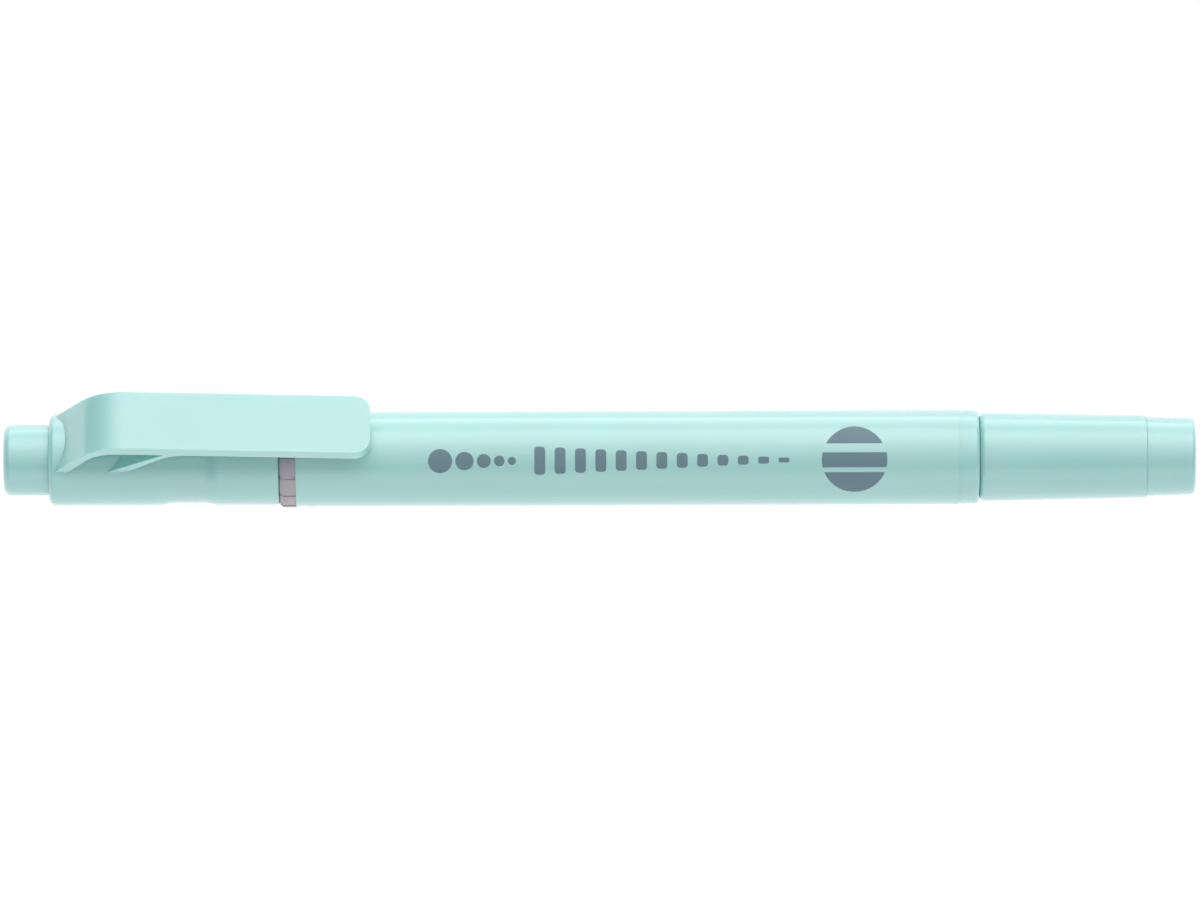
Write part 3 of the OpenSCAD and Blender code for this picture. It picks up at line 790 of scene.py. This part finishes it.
bpy.ops.object.select_all(action="DESELECT")
bpy.ops.mesh.primitive_plane_add(size=MM, location=at(0, -CLIP_W / 2), rotation=(math.pi / 2, 0, 0))
clip = bpy.context.object
clip.name = clip.data.name = "pocket_clip"
bpy.ops.object.transform_apply(location=True, rotation=True, scale=True)
pick(clip, lambda x, y, h: h > 0)
bpy.ops.mesh.delete(type="VERT")
pick(clip, lambda x, y, h: x < 0)
bpy.ops.transform.translate(value=at(feet[0][0], 0, feet[0][1]) - at(-0.5, 0, -0.5))
pick(clip, lambda x, y, h: abs(x - 0.5) < 0.01)
bpy.ops.transform.translate(value=at(feet[1][0], 0, feet[1][1]) - at(0.5, 0, -0.5))
for old, new in zip(stations, stations[1:]):
    pull_edge(clip, old, new)

# %% [markdown]
# The brace is pulled out of the underside of the plate, between the tip of the open triangle and the
# point where the free plate starts. Its upper face runs straight down at 32 degrees, and its lower face
# leaves the plate in an arc, so the leg grows thicker towards its foot.

# %% Brace
tunnel_tip, brace_top = plate(TUNNEL_TIP_X)[1], plate(BRACE_TOP_X)[1]
brace_c = (brace_top[0], brace_top[1] - BRACE_R)
lower = [on_arc(brace_c, BRACE_R, BRACE_SLOPE * k) for k in LOWER_SHARES]
lower.append(down_slope(lower[-1], BRACE_SLOPE, HEEL_H))
heel_x = lower[-1][0]
lower += [(heel_x - back, h) for back, h in HEEL_BENDS]
lower.append(down_slope(lower[-1], HEEL_SLOPE, FOOT_H))
fall = tunnel_tip[1] - FOOT_H
upper = [down_slope(tunnel_tip, TUNNEL_SLOPE, tunnel_tip[1] - fall * k) for k in UPPER_SHARES]
brace = [(tunnel_tip, brace_top), *zip(upper, lower)]
for old, new in zip(brace, brace[1:]):
    pull_edge(clip, old, new)

# %% [markdown]
# Now the sheet becomes a solid. It is extruded across the clip's width, the two corners of the tip are
# beveled to a large radius seen from above, and a Bevel modifier rounds every edge that turns by more
# than 35 degrees, as the mould does. The feet are cut back to a cylinder inside the shell's wall, so
# that nothing of them reaches the bore.

# %% Width, corners and rounding
TIP_CORNER_R, EDGE_ROUND, CORE_R = 1.9, 0.5, 5.0
bpy.ops.mesh.select_all(action="SELECT")
bpy.ops.mesh.extrude_region_move(TRANSFORM_OT_translate={"value": (0, CLIP_W * MM, 0)})
close_up(clip)
for side in (-1, 1):
    pick(clip, lambda x, y, h: x > CLIP_TIP_X - 0.1 and y * side > CLIP_W / 2 - 0.01)
    bpy.ops.mesh.bevel(offset=TIP_CORNER_R * MM, segments=8, profile=0.5, affect="EDGES")
bpy.ops.object.mode_set(mode="OBJECT")
apply(clip, "BEVEL", width=EDGE_ROUND * MM, segments=4, limit_method="ANGLE", angle_limit=math.radians(35))
core_outline = [(HUB_R, CAP_X0 - 2), (CORE_R, CAP_X0 - 2), (CORE_R, CAP_X1), (HUB_R, CAP_X1)]
core = turned("core", core_outline, hollow=False)
apply(clip, "BOOLEAN", operation="DIFFERENCE", object=core, solver="EXACT")
bpy.data.objects.remove(core)
print("clip:", len(clip.data.polygons), "faces")

# %% [markdown]
# Under the tip a low rib holds the page or the pocket's hem. It is a short bar with rounded ends that
# sinks into the plate.

# %% Contact rib
RIB_X, RIB_LEN, RIB_GAP, RIB_SUNK, RIB_ROUND = CLIP_TIP_X - 2.2, 5.0, 0.3, 0.4, 0.35
rib_h = plate(RIB_X)[1][1]
rib_r = rib_h - FILM_R - RIB_GAP
bpy.ops.object.select_all(action="DESELECT")
bpy.ops.mesh.primitive_cylinder_add(
    vertices=48,
    radius=rib_r * MM,
    depth=RIB_LEN * MM,
    location=at(RIB_X, 0, rib_h),
    rotation=(math.pi / 2, 0, 0),
)
rib = bpy.context.object
bpy.ops.object.transform_apply(location=True, rotation=True, scale=True)
pick(rib, lambda x, y, h: True)
bpy.ops.mesh.bisect(
    plane_co=at(RIB_X, 0, rib_h + RIB_SUNK), plane_no=(0, 0, 1), use_fill=True, clear_outer=True
)
bpy.ops.object.mode_set(mode="OBJECT")
apply(rib, "BEVEL", width=RIB_ROUND * MM, segments=4, limit_method="ANGLE", angle_limit=math.radians(50))
bpy.ops.object.select_all(action="DESELECT")
rib.select_set(True)
clip.select_set(True)
bpy.context.view_layer.objects.active = clip
bpy.ops.object.join()
smooth(clip, angle=40)
cover(clip, MINT)
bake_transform(clip)
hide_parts("clip")

# %% [markdown]
# The print is plain and says only what the pen does: dots that grow smaller, upright bars that fall in
# height from the broad tip's side to the fine tip's side, and a disc with two level gaps. Each mark
# starts flat, on the plane z = 0. A bisecting plane cuts it into rows, a Shrinkwrap modifier lays it on
# the film, and Solidify gives the ink its thickness.

# %% Printing marks on the film
FACING = math.radians(31)
INK_T, ROW, ROWS, START_HEIGHT = 0.012, 0.3, 14, 10
LEVEL_CUT = (0, 1, 0.0001)  # normal of the planes that cut a mark level
outwards = Vector((0, -math.sin(FACING), math.cos(FACING)))


def lay_on_film(mark, name):
    """Cuts a flat mark into rows, wraps it on the film and gives it the thickness of ink."""
    mark.name = mark.data.name = name
    pick(mark, lambda x, y, h: True)
    for i in range(-ROWS, ROWS + 1):
        bpy.ops.mesh.select_all(action="SELECT")
        bpy.ops.mesh.bisect(plane_co=(0, i * ROW * MM, 0), plane_no=LEVEL_CUT)
    bpy.ops.object.mode_set(mode="OBJECT")
    mark.rotation_euler = (FACING, 0, 0)
    mark.location = at(0) + outwards * START_HEIGHT * MM
    apply(mark, "SHRINKWRAP", target=film, wrap_method="PROJECT", use_project_z=True,
          use_negative_direction=True, use_positive_direction=False, offset=INK_T * MM)
    apply(mark, "TRIANGULATE")
    apply(mark, "SOLIDIFY", thickness=2 * INK_T * MM, offset=-1)
    bpy.ops.object.transform_apply(location=True, rotation=True, scale=True)
    fit(mark, INK, "printed_film", "barrel")
    print(f"{name}: {len(mark.data.polygons)} faces")


def disc(x, r):
    """A flat disc on the plane z = 0."""
    bpy.ops.object.select_all(action="DESELECT")
    bpy.ops.mesh.primitive_circle_add(
        vertices=48, radius=r * MM, fill_type="NGON", location=(x * MM, 0, 0)
    )
    bpy.ops.object.transform_apply(location=True, rotation=True, scale=True)
    return bpy.context.object


def upright_bar(x, width, height):
    """A flat bar with rounded corners on the plane z = 0."""
    bpy.ops.object.select_all(action="DESELECT")
    bpy.ops.mesh.primitive_plane_add(size=MM, location=(x * MM, 0, 0))
    bar = bpy.context.object
    bar.scale = (width, height, 1)
    bpy.ops.object.transform_apply(location=True, rotation=True, scale=True)
    bpy.ops.object.mode_set(mode="EDIT")
    bpy.ops.mesh.select_all(action="SELECT")
    bpy.ops.mesh.bevel(offset=min(width, height) * 0.3 * MM, segments=4, affect="VERTICES")
    bpy.ops.object.mode_set(mode="OBJECT")
    return bar


def joined(parts):
    """One piece from several."""
    bpy.ops.object.select_all(action="DESELECT")
    for part in parts:
        part.select_set(True)
    bpy.context.view_layer.objects.active = parts[0]
    bpy.ops.object.join()
    return parts[0]


# %% [markdown]
# The dots shrink by the same share each time, and the bars fall by the same step. Marks of one kind are
# joined before they are wrapped, because they were printed in one pass. The disc loses two level bands:
# their edges are cut in by bisecting planes, and the faces between them are deleted.

# %% Dots, bars and disc
DOTS, DOT_R, DOT_X, DOT_SHRINK = 5, 1.45, -19.2, 0.76
DOT_PITCH, DOT_GAP = 1.75, 0.4
dots = []
dot_r, dot_x = DOT_R, DOT_X
for i in range(DOTS):
    dots.append(disc(dot_x, dot_r))
    dot_x += dot_r * DOT_PITCH + DOT_GAP
    dot_r *= DOT_SHRINK
lay_on_film(joined(dots), "print_dots")

BARS, BAR_X0, BAR_STEP, BAR_W, TALLEST, SHORTEST = 13, -7.2, 2.45, 1.3, 3.4, 0.6
fall = (TALLEST - SHORTEST) / (BARS - 1)
bars = [upright_bar(BAR_X0 + BAR_STEP * i, BAR_W, TALLEST - fall * i) for i in range(BARS)]
lay_on_film(joined(bars), "print_bars")

DISC_X, DISC_R = 30.7, 3.95
LEVEL_GAPS = ((-1.5, -0.9), (0.9, 1.9))
round_mark = disc(DISC_X, DISC_R)
bpy.ops.object.mode_set(mode="EDIT")
for level in [edge for gap in LEVEL_GAPS for edge in gap]:
    bpy.ops.mesh.select_all(action="SELECT")
    bpy.ops.mesh.bisect(plane_co=(0, level * MM, 0), plane_no=LEVEL_CUT)
bpy.ops.mesh.select_mode(type="FACE")
bpy.ops.mesh.select_all(action="DESELECT")
mesh = bmesh.from_edit_mesh(round_mark.data)
for face in mesh.faces:
    height = face.calc_center_median().y / MM
    face.select = any(low < height < high for low, high in LEVEL_GAPS)
bmesh.update_edit_mesh(round_mark.data)
bpy.ops.mesh.delete(type="FACE")
bpy.ops.object.mode_set(mode="OBJECT")
lay_on_film(round_mark, "print_disc")

# %% [markdown]
# The reservoir and its wrap keep their CAD shapes, because they are plain rods that nobody sees. They
# still get their own finishes: soaked fibre with lengthwise streaks, and a clear film.

# %% Reservoir
for node, material in (("ink_reservoir", ROD_FIBRE), ("reservoir_film", WRAP)):
    cover(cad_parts[node], material)

# %% [markdown]
# The pen lies on a dark table that glows white, like a light table, so hardly any shadow shows on it. A
# glossy tube shows its surroundings as bands along its length, so the light is one smooth gradient
# round it, like a white tent: dim above the reader, which leaves the deeper tone along the barrel's
# middle, brightest past the top, then a dip, and bright again low at the back. It fades towards the
# tent's two ends, a little sooner on the left, and ends below in a narrow white skirt, so that the
# floor has no dark horizon. The gradient follows the direction that the light comes from, so it stays
# still when the camera moves.

# %% Table and studio light
TABLE_SIZE, TABLE_Z = 40, -0.0001


def table():
    """A table that stays out of the model."""
    bpy.ops.object.select_all(action="DESELECT")
    bpy.ops.mesh.primitive_plane_add(size=TABLE_SIZE, location=(0, 0, TABLE_Z))
    top = bpy.context.object
    top.name = "table"
    material, tree, place = new_material("white_table")
    cloud = noise(tree, place, 200.0).outputs["Fac"]
    finish_shader(
        tree,
        Base_Color=two_tones(tree, cloud, "#404040", "#444444"),
        Roughness=0.8,
        Specular_IOR_Level=0.2,
        Emission_Color=(1, 1, 1, 1),
        Emission_Strength=1.0,
    )
    top.data.materials.append(material)


BRIGHTEST = 2.5
TENT = (  # degrees and level
    (0, 1.4), (20, 1.0), (40, 0.45),
    (62, 0.85), (85, 1.5), (110, 2.3),
    (128, 2.5), (142, 1.35), (180, 2.5),
)
TENT_SHIFT, TENT_END = 0.1, 0.12
FADE_START, FADE_END = 0.12, 0.85
LOWEST, SKIRT_FULL, SKIRT_TOP = 0.1, 0.03, 0.07


def light_tent():
    """A world whose light depends on its height, counted in degrees from the front over the top."""
    world = bpy.data.worlds.new("light_tent")
    world.use_nodes = True
    tree = world.node_tree
    tree.nodes.clear()
    direction = add(tree, "ShaderNodeTexCoord").outputs["Generated"]
    split = add(tree, "ShaderNodeSeparateXYZ", {"Vector": direction}).outputs
    front = add(tree, "ShaderNodeMath", {0: split["Y"], 1: -1.0}, operation="MULTIPLY").outputs[0]
    up = add(tree, "ShaderNodeMath", {0: split["Z"], 1: LOWEST}, operation="MAXIMUM").outputs[0]
    angle = add(tree, "ShaderNodeMath", {0: up, 1: front}, operation="ARCTAN2").outputs[0]
    turned_share = add(tree, "ShaderNodeMath", {0: angle, 1: math.pi}, operation="DIVIDE").outputs[0]
    ramp = add(tree, "ShaderNodeValToRGB", {"Fac": turned_share})
    ramp.color_ramp.interpolation = "EASE"
    stops = ramp.color_ramp.elements
    for degrees, _ in TENT[1:-1]:
        stops.new(degrees / 180)
    for stop, (_, level) in zip(stops, TENT, strict=True):
        stop.color = [level / BRIGHTEST] * 3 + [1]
    middle = add(tree, "ShaderNodeMath", {0: split["X"], 1: TENT_SHIFT}, operation="SUBTRACT").outputs[0]
    off_middle = add(tree, "ShaderNodeMath", {0: middle}, operation="ABSOLUTE").outputs[0]
    fade = {
        "Value": off_middle,
        "From Min": FADE_START,
        "From Max": FADE_END,
        "To Min": 1.0,
        "To Max": TENT_END,
    }
    side = add(tree, "ShaderNodeMapRange", fade, interpolation_type="SMOOTHSTEP").outputs["Result"]
    strength = add(tree, "ShaderNodeMath", {0: side, 1: BRIGHTEST}, operation="MULTIPLY").outputs[0]
    glow = add(tree, "ShaderNodeBackground", {"Color": ramp.outputs["Color"], "Strength": strength})
    skirt = add(tree, "ShaderNodeBackground", {"Color": (1, 1, 1, 1), "Strength": 1.0})
    low = {"Value": split["Z"], "From Min": SKIRT_FULL, "From Max": SKIRT_TOP, "To Min": 1.0, "To Max": 0.0}
    share = add(tree, "ShaderNodeMapRange", low).outputs["Result"]
    both = {0: share, 1: glow.outputs["Background"], 2: skirt.outputs["Background"]}
    tent = add(tree, "ShaderNodeMixShader", both).outputs["Shader"]
    add(tree, "ShaderNodeOutputWorld", {"Surface": tent})
    bpy.context.scene.world = world
    print("light tent:", len(stops), "stops")


table()
light_tent()
bpy.context.scene.view_settings.view_transform = "Standard"

# %% [markdown]
# The camera stands far back with a long lens, 62 degrees above the table, square to the pen. It is
# rolled by a fifth of a degree, and it aims a little above the pen, so the pen lies just below the
# middle of the picture.

# %% Camera
ELEVATION, DISTANCE, ROLL = math.radians(62), 1.25, math.radians(0.19)
VIEW_WIDTH, AIM_ALONG, AIM_UP = 145.1, 0.06, 0.98
SENSOR = 36
camera = bpy.data.objects.new("camera", bpy.data.cameras.new("camera"))
bpy.context.scene.collection.objects.link(camera)
camera.data.sensor_width = SENSOR
camera.data.lens = SENSOR * DISTANCE / (VIEW_WIDTH * MM)
camera.data.clip_end = 20
look = Vector((0, -math.cos(ELEVATION), math.sin(ELEVATION)))
up = Vector((0, math.sin(ELEVATION), math.cos(ELEVATION)))
aim = at(AIM_ALONG) + up * AIM_UP * MM
turn = Matrix((Vector((1, 0, 0)), up, look)).transposed() @ Matrix.Rotation(-ROLL, 3, "Z")
camera.matrix_world = Matrix.Translation(aim + look * DISTANCE) @ turn.to_4x4()
bpy.context.scene.camera = camera
print("lens:", round(camera.data.lens, 1), "mm")
